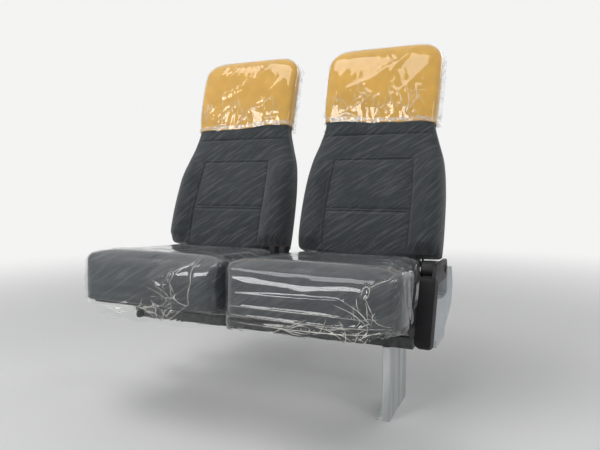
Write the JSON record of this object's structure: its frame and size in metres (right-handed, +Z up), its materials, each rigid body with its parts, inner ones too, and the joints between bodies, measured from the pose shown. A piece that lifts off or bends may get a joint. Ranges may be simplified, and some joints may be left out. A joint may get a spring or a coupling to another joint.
{
  "type": "coach twin passenger seat",
  "caption": "Twin coach passenger seat on an aisle leg and wall bracket: reclining high backs, lap belts, covered headrests, film-wrapped cushions, drop-down armrest.",
  "frame": {"origin": "middle of the two floor bolts under the leg's foot plate, at floor level", "axes": "+X towards the aisle, away from the side wall; +Y towards the rear of the vehicle, so the seats face -Y; +Z up"},
  "size_m": [0.951, 0.6792, 1.0708],
  "materials": {
    "steel_silver": "satin silver-grey paint on pressed sheet",
    "steel_black": "satin black powder coat",
    "plastic_black": "fine-grained black moulding",
    "armrest_skin": "soft grained black self-skinned foam",
    "plastic_shell": "grained charcoal moulding",
    "plastic_grey": "light-grey moulding, fine grain",
    "seat_fabric": "charcoal moquette with broken diagonal streaks",
    "cover_fabric": "mustard woven cloth",
    "clear_film": "thin clear wrinkled packing film",
    "webbing": "black woven belt webbing",
    "button_red": "red press button",
    "chrome": "polished plate"
  },
  "bodies": {
    "base": {"leg": "steel_silver", "saddle": "steel_black", "front_beam": "steel_black", "rear_beam": "steel_black", "wall_bracket": "steel_black", "armrest_pivot": "steel_black", "side_cover": "plastic_grey", "side_plate_aisle_outer": "steel_black", "side_plate_aisle_inner": "steel_black", "side_plate_window_inner": "steel_black", "side_plate_window_outer": "steel_black", "seat_pan_aisle": "steel_black", "cushion_aisle": "seat_fabric", "cushion_film_aisle": "clear_film", "film_skirt_aisle": "clear_film", "recline_lever_aisle": "plastic_black", "buckle_aisle": "plastic_black", "buckle_button_aisle": "button_red", "lap_belt_aisle": "webbing", "belt_tongue_aisle": "chrome", "seat_pan_window": "steel_black", "cushion_window": "seat_fabric", "cushion_film_window": "clear_film", "film_skirt_window": "clear_film", "recline_lever_window": "plastic_black", "buckle_window": "plastic_black", "buckle_button_window": "button_red", "lap_belt_window": "webbing", "belt_tongue_window": "chrome"},
    "backrest_aisle": {"back_arms_aisle": "steel_black", "back_pad_aisle": "seat_fabric", "back_shell_aisle": "plastic_shell", "headrest_cover_aisle": "cover_fabric", "headrest_film_aisle": "clear_film"},
    "backrest_window": {"back_arms_window": "steel_black", "back_pad_window": "seat_fabric", "back_shell_window": "plastic_shell", "headrest_cover_window": "cover_fabric", "headrest_film_window": "clear_film"},
    "armrest": {"armrest_arm": "plastic_black", "armrest_pad": "armrest_skin"}
  },
  "joints": [
    {"name": "recline_aisle", "type": "hinge", "parent": "base", "child": "backrest_aisle", "pos_m": [-0.09, 0.042, 0.372], "axis": [-1, 0, 0], "range_deg": [0, 28]},
    {"name": "recline_window", "type": "hinge", "parent": "base", "child": "backrest_window", "pos_m": [-0.565, 0.042, 0.372], "axis": [-1, 0, 0], "range_deg": [0, 28]},
    {"name": "armrest_hinge", "type": "hinge", "parent": "base", "child": "armrest", "pos_m": [0.133, 0.045, 0.405], "axis": [-1, 0, 0], "range_deg": [0, 68]}
  ]
}
